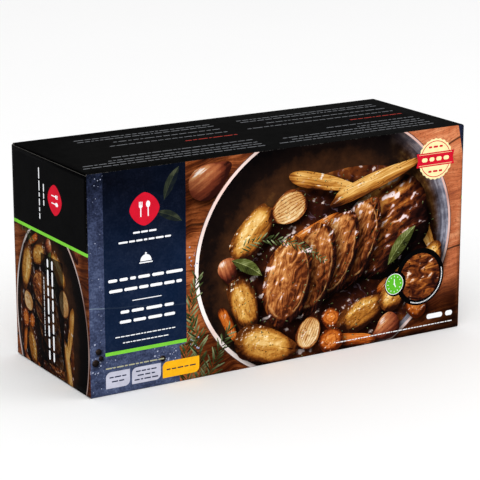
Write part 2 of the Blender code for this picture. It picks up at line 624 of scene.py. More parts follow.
boardFinish = {
    "pale": (150, 146, 140),
    "core": ((0.2, 54, 51, 48), (0.8, 96, 92, 87)),
    "fibre": (900.0, 900.0, 2400.0),
    "roughness": 0.46,
    "specular": 0.005,
    "fleck": (1500.0, 3.0, 0.6),     # scale, detail and roughness of a noise
    "patch": (90.0,),
    "swell": (30.0, 1.0, 0.4),
    "wear": 0.30,
    "worn": (0.5, 0.1),              # millimetres from a fold, where wear starts and is full
    "wornFleck": (0.05, 0.17),
}
strokes = {
    # What the paints share. Scales are in waves for a millimetre, steps and reaches in millimetres.
    "embossGain": 2.2,
    "relief": (0.30, 0.9),           # scale and step
    "gloss": (0.12, 2.0),
    "glossBend": (0.15, 7.0),        # scale and reach
    "tint": 0.05,
    "fibreStep": 0.07,               # in waves
    "fibreGain": 5.0,
    "fibreApart": 40.0,              # between the grains of two outlines
    "fibreRoughness": 0.6,
    "speckBend": (0.8, 1.2),
    "speckCore": 0.6,                # share of a speck that is solid
    "speckShare": 0.9,
}


class Pen(Book):
    # What a printed finish draws with: its place on the sheet in millimetres, its place in its
    # own outline's axes, the shade on it, where its light comes from and a number of its own
    def __init__(self, tree):
        super().__init__(tree)
        self.place, self.own = [self.add("ShaderNodeUVMap", uv_map=key) for key in ("print", "own")]
        cast = self.add("ShaderNodeAttribute", out=1, attribute_name="cast")
        self.shade, self.bearing, self.seed = self.parts(cast)

    def emboss(self, scale, step, at=None, detail=2.0):
        # Slope of a noise towards the light, about -1 to 1
        at = at or self.place
        lightX, lightY, _ = picture["light"]
        towards = self.vector("ADD", at, (lightX * step, lightY * step, 0.0))
        slope = self.noise(at, scale, detail) - self.noise(towards, scale, detail)
        return slope * (strokes["embossGain"] / (step * scale))

    def relief(self):
        return self.emboss(*strokes["relief"])

    def gloss(self):
        return self.emboss(*strokes["gloss"], self.bent(self.place, *strokes["glossBend"]), 1.0)

    def tint(self, reach):
        return self.noise(self.place, strokes["tint"]) * reach

    def bent(self, at, scale, reach):
        # A place shifted to and fro
        noise = self.add("ShaderNodeTexNoise", {"Vector": self.place, "Scale": scale}, 1)
        shift = self.vector("SUBTRACT", noise, (0.5, 0.5, 0.5))
        return self.vector("MULTIPLY_ADD", shift, (reach, reach, 0.0), at)

    def light(self):
        return self.join(self.maths("COSINE", self.bearing), self.maths("SINE", self.bearing))

    def dome(self, q):
        # How much light a bulging shape gets, and how far a place is from its middle
        lightX, lightY, lightZ = picture["light"]
        reach = self.reach(q)
        flat = self.vector("DOT_PRODUCT", q, self.light()) * math.hypot(lightX, lightY)
        return flat + self.maths("SQRT", 1.0 - reach * reach) * lightZ, reach

    def fibres(self, q, along, across, detail=4.0, distortion=0.6):
        # A grain with so many waves along and across the outline, and its slope to the light
        step, apart = strokes["fibreStep"], self.join(0.0, 0.0, self.seed * strokes["fibreApart"])
        at = self.vector("MULTIPLY_ADD", q, (along, across, 0.0), apart)
        near = self.vector("MULTIPLY_ADD", self.light(), (along * step, across * step, 0.0), at)
        here, there = [
            self.noise(spot, 1.0, detail, strokes["fibreRoughness"], distortion) for spot in (at, near)]
        return here, (here - there) * strokes["fibreGain"]

    def specks(self, colour, over, scale, size, most):
        # Small marks at some of many scattered points
        near, chance = self.cells(self.bent(self.place, *strokes["speckBend"]), scale)
        share = self.smooth(near, size, size * strokes["speckCore"])
        share = share * self.smooth(chance, most, most - 0.03, strokes["speckShare"])
        return self.mix(share, colour, over)


def newMaterial(name, kind=Book):
    material = bpy.data.materials.new(name)
    material.use_nodes = True
    material.node_tree.nodes.clear()
    book = kind(material.node_tree)
    return material, book, book.add("ShaderNodeTexCoord", out=3)


def closeMaterial(book, sockets, height=None, strength=0.1, distance=mm):
    if height is not None:
        sockets["Normal"] = book.add("ShaderNodeBump", {
            "Height": height, "Strength": strength, "Distance": distance})
    shader = book.add("ShaderNodeBsdfPrincipled", sockets)
    book.add("ShaderNodeOutputMaterial", {"Surface": shader})


def printed(name, paint):
    material, pen, at = newMaterial(name, Pen)
    colour = pen.mix(1.0, paint(pen), pen.join(pen.shade, pen.shade, pen.shade), "MULTIPLY")
    fleck, patch, swell = [pen.noise(at, *boardFinish[key]) for key in ("fleck", "patch", "swell")]
    # A fold is where two of the carton's faces meet
    offset = pen.vector("ABSOLUTE", pen.vector("SUBTRACT", at, tuple((low + high) / 2)))
    x, y, z = [half - part for half, part in zip(span / 2, pen.parts(offset))]
    fewer, more = pen.maths("MINIMUM", x, y), pen.maths("MAXIMUM", x, y)
    away = pen.maths("MAXIMUM", fewer, pen.maths("MINIMUM", more, z))
    wear = pen.smooth(away, *[reach * mm for reach in boardFinish["worn"]])
    wear = wear * pen.smooth(fleck + patch * 0.5, *boardFinish["wornFleck"], boardFinish["wear"])
    closeMaterial(pen, {
        "Base Color": pen.mix(wear, colour, boardFinish["pale"]),
        "Roughness": boardFinish["roughness"] + patch * 0.10 + wear * 0.3,
        "Specular IOR Level": boardFinish["specular"],
    }, swell * 0.5 + fleck * 0.012, 0.25)
    return material


def bareBoard():
    material, book, at = newMaterial("bareBoard")
    fibre = book.noise(book.vector("MULTIPLY", at, boardFinish["fibre"]), 1.0, 3.0, 0.6)
    colour = book.ramp(fibre + 0.5, *boardFinish["core"])
    closeMaterial(book, {"Base Color": colour, "Roughness": 0.85}, fibre, 0.3, 0.2 * mm)
    return material


def flatInk(colour, shift):
    # One solid ink, a little mottled
    def paint(pen):
        mottle = pen.noise(pen.place, 0.16, 3.0, 0.6) + pen.noise(pen.place, 1.8, 2.0, 0.6) * 0.4
        under = pen.mix(shift, colour, (0, 0, 0))
        return pen.mix(pen.smooth(mottle, -0.15, 0.15), under, colour)
    return paint


def paintSlate(pen):
    cloud = pen.noise(pen.place, 0.045, 4.0, 0.55)
    grain = pen.noise(pen.place, 0.8, 4.0, 0.65)
    blot = pen.smooth(pen.noise(pen.place, 0.20, 4.0, 0.65), -0.10, 0.16, 0.20)
    across, down, _ = pen.parts(pen.place)
    tone = pen.smooth(down, 0.0, 56.0, 0.38) + cloud * 0.80 + grain * 0.70 + blot + 0.10
    colour = pen.ramp(tone, (0.00, 14, 18, 30), (0.30, 36, 42, 64), (0.60, 64, 73, 102),
                      (0.85, 90, 101, 130), (1.00, 128, 138, 164))
    line = abs(down - across * 0.10 - 77.0 + cloud * 3.0)
    return pen.cover(colour, (150, 168, 184), line, 0.45, 0.10, 0.40)


def paintNavy(pen):
    # A dark film that lets a little of the slate through
    down = pen.parts(pen.place)[1]
    tone = pen.smooth(down, 0.0, 70.0, 0.7) + pen.noise(pen.place, 0.03) * 0.6 + 0.1
    deep = pen.ramp(tone, (0.0, 4, 5, 11), (0.45, 4, 14, 32), (1.0, 7, 27, 54))
    return pen.mix(0.90, paintSlate(pen), deep)


def paintGhost(pen):
    # A leaf seen through the dark film
    return pen.mix(0.80, paintLeaf(pen), (6, 14, 32))


def paintPeppercorn(pen):
    tone = pen.dome(pen.own)[0] * 0.6 + pen.fibres(pen.own, 2.2, 2.2)[0] * 0.7 + 0.10
    return pen.ramp(tone, (0.0, 8, 7, 9), (0.6, 34, 27, 25), (1.0, 112, 96, 88))


def paintSalt(pen):
    return pen.ramp(pen.dome(pen.own)[0] * 0.8 + 0.2, (0.0, 84, 92, 122), (0.9, 178, 184, 206))


def paintWood(pen):
    lean, board = -9.0, 66.0         # of the grain, and the width of a board
    at = pen.bent(pen.place, 0.03, 16.0)
    grain = pen.noise(pen.locate(at, lean, (34.0, 3.4)), 1.0, 5.0, 0.62, 0.6)
    fine = pen.noise(pen.locate(at, lean, (16.0, 0.8), (9.0, 4.0)), 1.0, 3.0, 0.7)
    cloud = pen.noise(pen.place, 0.03, 3.0, 0.6)
    across, down, _ = pen.parts(pen.place)
    bright = pen.smooth(across, 60.0, 250.0) * pen.smooth(down, 114.0, 84.0)
    warm = pen.smooth(across, 96.0, 76.0, 0.16) * pen.smooth(down, 30.0, 66.0)
    tone = grain * 1.1 + fine * 0.8 + cloud * 1.4 + 0.40 + bright * 0.42 + warm
    colour = pen.ramp(tone, (0.00, 30, 11, 6), (0.28, 84, 36, 15), (0.50, 140, 72, 33),
                      (0.72, 186, 106, 60), (1.00, 230, 160, 112))
    colour = pen.mix(bright * 0.34, colour, (210, 116, 84))
    colour = pen.cover(colour, (96, 40, 20), pen.noise(pen.place, 0.55, 4.0, 0.7), 0.02, 0.16, 0.38)
    near, chance = pen.cells(pen.locate(at, lean, (2.4, 0.5)), 1.0)
    pores = pen.smooth(near, 0.40, 0.20, 0.45) * pen.smooth(chance, 0.24, 0.18)
    colour = pen.mix(pores, colour, (60, 26, 14))
    level = pen.parts(pen.locate(at, lean))[1] / board + 0.26
    crack = abs(level - pen.maths("ROUND", level)) * board
    return pen.cover(colour, (22, 9, 6), crack, 1.1, 0.2, 0.85)


def paintRim(pen):
    x, y, _ = pen.parts(pen.own)
    return pen.ramp(pen.noise(pen.own, 2.4) * 1.4 + (y - x) * 0.14 + 0.74, (0.00, 104, 68, 60),
                    (0.35, 194, 144, 132), (0.65, 240, 206, 196), (1.00, 255, 242, 238))


def paintWall(pen):
    # Dark enamel, bright on the side that faces the light and stained down by the sauce
    x, y, _ = pen.parts(pen.own)
    reach = pen.reach(pen.own)
    brush = pen.noise(pen.join(reach * 50.0, pen.maths("ARCTAN2", y, x) * 2.0), 1.0, 3.0, 0.6)
    dirt = pen.noise(pen.place, 0.13, 4.0, 0.65)
    glow = pen.smooth(x * 0.85 + y * 0.30, 0.25, 0.85)
    dim = pen.smooth(y * 0.7 - x * 0.5, -0.75, 0.70, 0.4)
    deep = pen.ramp(dirt * 0.6 + dim + pen.smooth(reach, 0.97, 0.66, 0.55), (0.0, 7, 5, 6),
                    (0.35, 20, 12, 10), (0.7, 62, 36, 20), (1.0, 118, 78, 38))
    steel = pen.ramp(brush * 1.2 + dirt * 0.9 + pen.smooth(reach, 0.88, 1.0, 0.35) + 0.3,
                     (0.0, 34, 32, 38), (0.5, 98, 98, 112), (1.0, 192, 196, 212))
    stain = pen.ramp(dirt * 1.8 + brush * 0.7 + 0.45, (0.0, 26, 12, 7), (0.45, 92, 56, 26),
                     (0.8, 152, 108, 52), (1.0, 200, 158, 92))
    level = reach + dirt * 0.14
    colour = pen.mix(glow * pen.smooth(level, 0.72, 0.80), deep, stain)
    return pen.mix(glow * pen.smooth(level, 0.87, 0.94, 0.92), colour, steel)


def paintSauce(pen):
    # A deep glaze with soft mirrored lights
    at = pen.bent(pen.place, 0.07, 14.0)
    gloss = pen.gloss()
    edge = pen.smooth(pen.reach(pen.own), 0.85, 1.0, 0.25)
    colour = pen.ramp(
        pen.noise(at, 0.06, 4.0, 0.6, 0.4) * 1.1 + gloss * 0.10 + 0.30 + edge, (0.00, 14, 5, 5),
        (0.35, 50, 20, 11), (0.60, 96, 46, 18), (0.82, 156, 92, 38), (1.00, 210, 152, 76))
    mirror = pen.noise(pen.locate(at, 34.0, (8.0, 2.6)), 1.0, 3.0, 0.5, 0.8)
    colour = pen.cover(colour, (150, 124, 142), mirror, 0.10, 0.24, 0.50)
    return pen.cover(colour, (246, 226, 220), gloss * 0.6 + mirror * 1.2, 0.50, 0.82, 0.8)


meatStops = ((0.00, 16, 6, 6), (0.25, 50, 19, 12), (0.45, 102, 48, 20), (0.62, 152, 82, 32),
             (0.80, 200, 134, 62), (1.00, 242, 200, 132))


def paintMeat(pen):
    q = pen.bent(pen.own, 0.10, 0.25)
    lit, reach = pen.dome(q)
    fibre, furrow = pen.fibres(q, 1.5, 5.5)
    gloss = pen.gloss()
    tone = lit * 0.60 + fibre * 0.95 + furrow * 0.16 + gloss * 0.14 + 0.16 + pen.tint(0.5)
    colour = pen.specks(pen.ramp(tone, *meatStops), (28, 12, 9), 0.30, 0.24, 0.35)
    shine = lit * 0.40 + gloss * 0.60 + furrow * 0.34
    colour = pen.cover(colour, (244, 224, 226), shine, 0.58, 0.95, 0.9)
    return pen.cover(colour, (44, 18, 9), reach, 0.80, 1.0, 0.75, "MULTIPLY")


def paintSlice(pen):
    q = pen.bent(pen.own, 0.10, 0.14)
    facing = pen.vector("DOT_PRODUCT", q, pen.light())
    fibre, furrow = pen.fibres(q, 3.0, 2.2, 4.0, 1.6)
    gloss = pen.gloss()
    tone = fibre * 1.10 + furrow * 0.12 + gloss * 0.16 + 0.48 + facing * 0.34 + pen.tint(0.35)
    cut = pen.ramp(tone, (0.00, 28, 10, 7), (0.26, 86, 38, 18), (0.50, 150, 82, 38),
                   (0.74, 208, 140, 76), (1.00, 246, 204, 146))
    crust = pen.ramp(furrow * 0.24 + fibre + 0.30 + facing * 0.30, *meatStops)
    level = pen.reach(q) + fibre * 0.16
    fat = pen.smooth(pen.noise(pen.place, 0.11, 1.0), -0.10, 0.08)
    fat = fat * pen.smooth(abs(level - 0.80), 0.035, 0.0, 0.65)
    cut = pen.mix(fat, cut, (206, 150, 92))
    colour = pen.mix(pen.smooth(level, 0.82, 0.88), cut, crust)
    shine = gloss * 0.55 + furrow * 0.30 + pen.relief() * 0.22 + facing * 0.32
    return pen.cover(colour, (248, 226, 224), shine, 0.48, 0.85, 0.85)


def paintPotato(pen):
    # A roast wedge: two cut sides that meet along a ridge, browned at the edges
    q = pen.bent(pen.own, 0.15, 0.16)
    lit, reach = pen.dome(q)
    along, across, _ = pen.parts(q)
    grain, slope = pen.fibres(q, 1.8, 2.4)
    streak, _ = pen.fibres(q, 0.9, 6.0, 3.0, 0.3)
    ridge = along * along * 0.30 + (pen.seed - 0.5) * 0.6 + streak * 0.3
    side = pen.smooth(across - ridge, -0.10, 0.02, 0.13, -0.13) * pen.parts(pen.light())[1]
    relief = pen.relief()
    tone = 0.50 + side + lit * 0.14 + grain * 0.8 + slope * 0.09 + relief * 0.06 + pen.seed * 0.20
    tone = tone - pen.smooth(reach + grain * 0.8, 0.56, 0.96, 0.60) - pen.smooth(streak, 0.06, 0.22, 0.22)
    colour = pen.ramp(tone, (0.00, 34, 13, 7), (0.26, 102, 52, 18), (0.48, 168, 106, 38),
                      (0.72, 214, 160, 76), (1.00, 248, 216, 148))
    colour = pen.specks(colour, (50, 28, 12), 0.42, 0.19, 0.22)
    shine = relief * 0.34 + slope * 0.32 + lit * 0.4
    return pen.cover(colour, (255, 244, 220), shine, 0.58, 0.88, 0.85)


def paintCarrot(pen):
    # A round slice: a paler core with rays, a darker ring round it and browned edges
    q = pen.bent(pen.own, 0.3, 0.15)
    reach = pen.reach(q)
    x, y, _ = pen.parts(q)
    bearing = pen.maths("ARCTAN2", y, x)
    rays = pen.noise(pen.join(bearing * 3.5, reach * 1.2, pen.seed * 9.0), 1.0)
    grain, slope = pen.fibres(pen.own, 2.4, 2.4)
    relief = pen.relief()
    uneven = reach + rays * 0.25
    tone = 0.56 + pen.smooth(uneven, 0.50, 0.42, 0.12) - pen.smooth(abs(uneven - 0.48), 0.09, 0.0, 0.16)
    tone = tone + rays * 0.30 + grain * 0.6 + relief * 0.07 + slope * 0.07
    tone = tone - pen.smooth(reach + grain * 0.5, 0.66, 0.98, 0.50)
    colour = pen.ramp(tone, (0.00, 40, 13, 6), (0.30, 122, 50, 14), (0.58, 190, 98, 32),
                      (0.80, 226, 142, 64), (1.00, 246, 190, 118))
    return pen.cover(colour, (255, 236, 214), relief * 0.5 + slope * 0.35, 0.40, 0.70, 0.85)


def paintOnion(pen):
    # Papery copper skin with veins from the root to the tip
    along, across, _ = pen.parts(pen.own)
    lit, _ = pen.dome(pen.join(along, across * (1.0 + along * 0.35)))
    grain, slope = pen.fibres(pen.own, 0.8, 7.0, 3.0, 0.2)
    stripe = pen.maths("SINE", across * 15.0 + along * 2.0)
    tone = lit * 0.66 + 0.08 + stripe * 0.05 + grain * 0.5 + pen.relief() * 0.04
    colour = pen.ramp(tone, (0.00, 44, 16, 12), (0.35, 116, 52, 32), (0.62, 176, 102, 62),
                      (0.82, 216, 156, 104), (1.00, 250, 216, 174))
    return pen.cover(colour, (255, 246, 236), lit + slope * 0.05, 0.94, 1.02, 0.85)


def paintHalf(pen):
    # The cut side of a browned onion, whose layers meet at the root and at the tip
    q = pen.bent(pen.own, 0.22, 0.14)
    along, across, _ = pen.parts(q)
    grain, slope = pen.fibres(pen.own, 2.2, 2.2)
    depth = abs(across) / pen.maths("SQRT", pen.maths("MAXIMUM", 1.12 - along * along, 0.05))
    layer = depth * 4.8 + grain * 0.5
    line = pen.smooth(abs(layer - pen.maths("ROUND", layer)), 0.20, 0.02)
    tone = 0.76 - line * 0.32 + slope * 0.08 + grain * 0.8 + pen.tint(1.1)
    tone = tone - pen.smooth(pen.reach(q) + grain * 0.4, 0.84, 1.0, 0.55)
    tone = tone - pen.smooth(abs(along), 0.70, 1.0, 0.25)
    colour = pen.ramp(tone, (0.00, 44, 16, 8), (0.28, 126, 62, 26), (0.52, 190, 132, 70),
                      (0.76, 224, 186, 128), (1.00, 250, 232, 196))
    shine = slope * 0.4 + pen.gloss() * 0.4 - line * 0.15
    return pen.cover(colour, (255, 240, 216), shine, 0.42, 0.70, 0.85)


def rootPaint(*stops):
    # A roast root, lengthwise
    def paint(pen):
        q = pen.bent(pen.own, 0.15, 0.10)
        along, across, _ = pen.parts(q)
        fibre, furrow = pen.fibres(q, 1.1, 3.4)
        lit = pen.maths("SQRT", 1.0 - across * across * 1.4) * 0.55
        lit = lit + across * pen.parts(pen.light())[1] * 0.60
        tone = lit * 0.75 + fibre * 0.95 + furrow * 0.14 + 0.13 + pen.tint(0.4)
        tone = tone - pen.smooth(abs(along), 0.65, 1.0, 0.40)
        colour = pen.specks(pen.ramp(tone, *stops), (50, 24, 12), 0.42, 0.18, 0.22)
        shine = furrow * 0.4 + lit * 0.5 + pen.gloss() * 0.3
        return pen.cover(colour, (255, 244, 226), shine, 0.60, 0.88, 0.8)
    return paint


def paintLeaf(pen):
    along, across, _ = pen.parts(pen.own)
    across = across - along * along * 0.25 + 0.1
    vein = pen.maths("SINE", (along - abs(across) * 0.5) * 34.0)
    tone = 0.34 + pen.smooth(across, 0.03, -0.03, 0.24) + vein * 0.05 + pen.gloss() * 0.16
    tone = tone + pen.smooth(abs(across), 0.07, 0.02, 0.30)
    return pen.ramp(tone, (0.15, 28, 30, 12), (0.60, 84, 92, 40), (1.0, 170, 176, 120))


def paintNeedle(pen):
    across = pen.parts(pen.own)[1]
    tone = pen.seed * 0.6 + pen.smooth(across, 0.5, -0.5, 0.35) + 0.02 + pen.emboss(1.1, 0.3) * 0.06
    return pen.ramp(tone, (0.0, 14, 20, 10), (0.5, 62, 74, 38), (1.0, 158, 170, 124))


def paintCrust(pen):
    # A close look at a browned surface
    fibre, furrow = pen.fibres(pen.own, 1.1, 2.6, 5.0, 1.2)
    gloss = pen.gloss()
    tone = fibre * 1.5 + furrow * 0.14 + gloss * 0.10 + 0.38 + pen.tint(0.5)
    colour = pen.specks(pen.ramp(tone, *meatStops), (28, 12, 9), 0.25, 0.22, 0.4)
    return pen.cover(colour, (255, 232, 214), gloss * 0.5 + furrow * 0.5, 0.50, 0.80, 0.85)


paints = {
    "slate": paintSlate, "navyPanel": paintNavy, "ghost": paintGhost, "peppercorn": paintPeppercorn,
    "salt": paintSalt, "wood": paintWood, "dishRim": paintRim, "dishWall": paintWall,
    "sauce": paintSauce, "meat": paintMeat, "slice": paintSlice, "potato": paintPotato,
    "carrot": paintCarrot, "onion": paintOnion, "half": paintHalf, "leaf": paintLeaf,
    "needle": paintNeedle, "crust": paintCrust,
    "parsnip": rootPaint((0.00, 40, 15, 7), (0.25, 116, 60, 20), (0.48, 184, 122, 48),
                         (0.72, 228, 180, 102), (1.00, 254, 232, 182)),
    "baton": rootPaint((0.00, 40, 14, 6), (0.25, 118, 48, 14), (0.50, 188, 94, 28),
                       (0.75, 228, 140, 60), (1.00, 250, 196, 124)),
}
inks = {
    # colour, and how far its mottling goes towards black
    "white": ((246, 247, 250), 0.05), "grey": ((118, 120, 124), 0.10), "red": ((208, 24, 46), 0.10),
    "brick": ((180, 62, 54), 0.10), "lime": ((124, 206, 62), 0.10), "green": ((96, 190, 46), 0.10),
    "cream": ((252, 236, 176), 0.10), "yellow": ((252, 184, 28), 0.10), "lilac": ((196, 196, 212), 0.10),
    "straw": ((172, 170, 140), 0.10), "navyInk": ((24, 32, 62), 0.10), "dishEdge": ((92, 62, 52), 0.10),
    "carrotSide": ((92, 34, 10), 0.4), "smoke": ((20, 16, 16), 0.4), "black": ((13, 13, 13), 0.3),
    "jet": ((5, 5, 6), 0.3),
}
paints.update((name, flatInk(*measures)) for name, measures in inks.items())
finish = {name: printed(name + "Print", paint) for name, paint in paints.items()}
finish["bare"] = bareBoard()
print("finishes:", len(finish))


# The picture of a meal

forms = {
    # how each outline departs from a ring
    "meat": {"wobble": 0.07},
    "slice": {"wobble": 0.05},
    "potato": {"wobble": 0.06, "form": lambda x, y: (power(x, 0.9), power(y, 0.8) * (0.92 - 0.24 * x))},
    "carrot": {"wobble": 0.03},
    "half": {"wobble": 0.03, "form": lambda x, y: (x * (1 + 0.28 * max(x, 0) ** 6), y * (1 - 0.16 * x))},
    "onion": {"wobble": 0.02, "form": lambda x, y: (x * (1 + 0.35 * max(x, 0) ** 6), y * (1 - 0.20 * x))},
    "parsnip": {"wobble": 0.05, "form": lambda x, y: (x, y * (0.72 - 0.28 * x))},
    "baton": {"wobble": 0.04, "form": lambda x, y: (x, power(y, 0.7) * (0.9 - 0.2 * x))},
    "leaf": {"wobble": 0.01, "form": lambda x, y: (
        x, 0.25 * x * x - 0.1 + 0.9 * y * math.sqrt(max(0.0, 1 - x * x)))},
}
meal = [
    # ink, centre, radii and turn, from the back to the front
    ("onion", (78.0, 13.0), (13.5, 10.0), -28.0),
    ("dish",),
    ("parsnip", (158.0, 24.0), (27.0, 6.6), 14.0),
    ("parsnip", (228.0, 54.0), (30.0, 7.4), 66.0),
    ("baton", (150.0, 52.0), (20.0, 4.4), -22.0),
    ("potato", (108.0, 48.0), (20.0, 11.0), -50.0),
    ("half", (133.0, 36.0), (12.5, 9.6), 158.0),
    ("potato", (236.0, 84.0), (14.0, 9.0), -62.0),
    ("onion", (91.0, 68.0), (7.4, 6.6), 75.0),
    ("baton", (210.0, 89.0), (16.0, 4.2), -34.0),
    ("meat", (201.0, 58.0), (37.0, 28.0), -28.0),
    ("parsnip", (196.0, 27.0), (35.0, 7.6), -16.0),
    ("slice", (181.0, 64.0), (15.0, 29.0), 22.0),
    ("slice", (166.0, 69.0), (15.0, 28.0), 20.0),
    ("slice", (150.0, 76.0), (15.5, 29.0), 15.0),
    ("slice", (132.0, 81.0), (17.0, 27.5), 13.0),
    ("potato", (102.0, 90.0), (17.5, 10.0), 72.0),
    ("baton", (91.0, 101.0), (12.0, 3.8), 64.0),
    ("potato", (117.0, 118.0), (22.0, 12.0), 18.0),
    ("half", (147.0, 115.0), (10.5, 8.2), -64.0),
    ("carrot", (163.0, 108.0), (7.0, 5.8), 20.0),
    ("potato", (186.0, 109.0), (18.0, 10.0), -22.0),
    ("potato", (211.0, 99.0), (14.0, 9.0), -44.0),
    ("carrot", (226.0, 110.0), (8.0, 7.0), 40.0),
    ("onion", (205.0, 121.0), (9.5, 8.2), 150.0),
    ("baton", (181.0, 125.0), (15.0, 4.4), 8.0),
    ("carrot", (163.0, 122.0), (8.6, 7.2), -10.0),
    ("leaf", (214.0, 70.0), (15.0, 5.0), -48.0),
    ("leaf", (104.0, 68.0), (12.0, 4.4), 30.0),
]
sprigs = [
    # start, middle, end, needles, length of a needle, its width
    ((100.0, 56.0), (124.0, 46.0), (158.0, 72.0), 44, 6.0, 0.9),
    ((63.0, 134.0), (60.0, 104.0), (70.0, 70.0), 46, 12.0, 1.1),
    ((70.0, 136.0), (74.0, 114.0), (66.0, 92.0), 34, 11.0, 1.1),
    ((76.0, 136.0), (80.0, 122.0), (92.0, 104.0), 30, 10.0, 1.0),
]
dusk = [
    # Where the picture's light falls off: centre, radii, turn, how dark
    ((256.0, 128.0), (58.0, 40.0), -24.0, 0.95),
    ((150.0, -8.0), (90.0, 26.0), 0.0, 0.50),
    ((78.0, 134.0), (40.0, 44.0), 30.0, 0.45),
    ((62.0, 22.0), (24.0, 34.0), 0.0, 0.50),
]


def layDish(sheet):
    centre, (wide, tall), turn = picture["pan"]
    sheet.drop(centre, (wide, tall), turn, 0.8, (3.0, 4.0), 1.0)
    for name, grown, aside in (
            ("dishEdge", 0.5, 0.0), ("dishRim", 0.0, 0.0), ("dishWall", -picture["rim"], 0.4)):
        middle = (centre[0] + aside, centre[1] - aside)
        sheet.stamp(name, roundOutline(96), middle, (wide + grown, tall + grown), turn)
    sheet.stamp("sauce", roundOutline(72, 0.03, 5), *picture["pool"])


def layMeal(sheet):
    for number, (name, *axes) in enumerate(meal):
        if name == "dish":
            layDish(sheet)
            continue
        outline = roundOutline(40, seed=number, **forms[name])
        sheet.drop(*axes)
        if name == "carrot":
            (x, y), radii, turn = axes
            sheet.stamp("carrotSide", outline, (x + 0.7, y + 1.6), radii, turn)
        sheet.stamp(name, outline, *axes)
    for number, (*bend, needles, long, wide) in enumerate(sprigs):
        start, middle, end = [Vector((x, -y, 0.0)) for x, y in bend]
        sheet.grow("needle", "sprig", start=start, middle=middle, end=end, needles=needles,
                   long=long, wide=wide, seed=number)
    field = placed(roundOutline(24), *picture["pool"])
    for name, *measures in picture["crumbs"]:
        sheet.crumbs(name, field, *measures)
    for centre, radii, turn, dark in dusk:
        sheet.drop(centre, radii, turn, dark, (0.0, 0.0), 1.0, 1.1)


# The printed panels

badge = {
    # A plain fork and spoon on a soft diamond, in tenths of the badge's size
    "softness": 1.25,
    "bars": [
        # left, top, right, bottom, corners
        (-3.68, -4.6, -3.12, -1.6, 0.28), (-2.78, -4.6, -2.22, -1.6, 0.28),
        (-1.88, -4.6, -1.32, -1.6, 0.28), (-3.68, -2.4, -1.32, -0.8, (0.0, 0.0, 1.0, 1.0), 4),
        (-2.85, -1.4, -2.15, 4.6, 0.35), (2.05, -1.4, 2.75, 4.6, 0.35)],
    "bowl": ((2.4, -2.7), (1.35, 2.0)),
}
cloche = {
    # In its own radius, up and down from its middle
    "dome": (0.45, 1.05),            # where it stands, and its height
    "knob": (-0.78, 0.17),           # height of its middle, and its radius
    "tray": (-1.2, 0.60, 1.2, 0.80, 0.1),
}
seal = {
    # In its own radius
    "scallops": (24, 0.022),         # how many, and their depth
    "rings": [("red", 0.90), ("cream", 0.86)],
    "band": (1.12, 0.34),            # half its width and its height
    "notch": 0.93,                   # in half widths of the band, as are the next two
    "line": (0.88, 0.78, 0.12),      # half width, height in those of the band, half thickness in mm
    "marks": 0.72,
    "rows": (0.42, 0.60),            # half width, and distance from the middle
}
dial = {
    # A timer with ticks and two hands, in its own radius
    "rim": 1.06,
    "marks": {"radius": 0.76, "long": 0.16, "wide": 0.08},
    "hands": [(-90.0, 0.52), (62.0, 0.36)],      # turn and length
    "hand": (0.05, 0.04),            # half width, and corners
    "hub": 0.1,
}


def layBadge(sheet, centre, size, turn=0.0):
    soft = roundOutline(48, form=lambda *spot: tuple(power(part, badge["softness"]) for part in spot))
    sheet.stamp("red", soft, centre, size, turn)
    bars = [boxOutline(*measures) for measures in badge["bars"]]
    for bar in bars + [placed(roundOutline(24), *badge["bowl"])]:
        sheet.stamp("white", bar, centre, size / 10, turn)


def layCloche(sheet, centre, size):
    foot, tall = cloche["dome"]
    angles = [math.radians(angle) for angle in range(0, 181, 10)]
    dome = [(math.cos(angle), foot - math.sin(angle) * tall) for angle in angles]
    up, radius = cloche["knob"]
    knob = placed(roundOutline(14), (0.0, up), (radius, radius))
    for outline in (dome, knob, boxOutline(*cloche["tray"])):
        sheet.stamp("white", outline, centre, size)


def laySeal(sheet, centre, radius):
    x, y = centre
    count, depth = seal["scallops"]
    turns = [math.tau * k / 144 for k in range(144)]
    swells = [1 + depth * math.cos(count * turn) for turn in turns]
    scallops = [(r * math.cos(turn), r * math.sin(turn)) for turn, r in zip(turns, swells)]
    sheet.stamp("cream", scallops, centre, radius)
    for name, share in seal["rings"]:
        sheet.disc(name, centre, radius * share, 64)
    wide, tall = [radius * share for share in seal["band"]]
    notch = seal["notch"]
    band = [(-1, -1), (1, -1), (notch, 0), (1, 1), (-1, 1), (-notch, 0)]
    sheet.stamp("red", band, centre, (wide, tall))
    side, up, thin = seal["line"]
    for level in (y - tall * up, y + tall * up):
        sheet.box("cream", x - wide * side, level - thin, x + wide * side, level + thin)
    side = wide * seal["marks"]
    sheet.words("cream", [(x - side, y, x + side)], 2.6, 3, 1.0, 1.9, 0.6)
    side, up = [radius * share for share in seal["rows"]]
    for level in (y - up, y + up):
        sheet.words("red", [(x - side, level, x + side)], 1.3, 5, 1.2, 2.6, 0.7)


def layDial(sheet, centre, radius):
    sheet.disc("white", centre, radius * dial["rim"])
    sheet.disc("green", centre, radius)
    marks = {key: radius * share for key, share in dial["marks"].items()}
    sheet.grow("white", "ringMarks", centre=centre, **marks)
    thin, corner = dial["hand"]
    for turn, long in dial["hands"]:
        sheet.stamp("white", boxOutline(-thin, -thin, long, thin, corner), centre, radius, turn)
    sheet.disc("white", centre, radius * dial["hub"], 12)


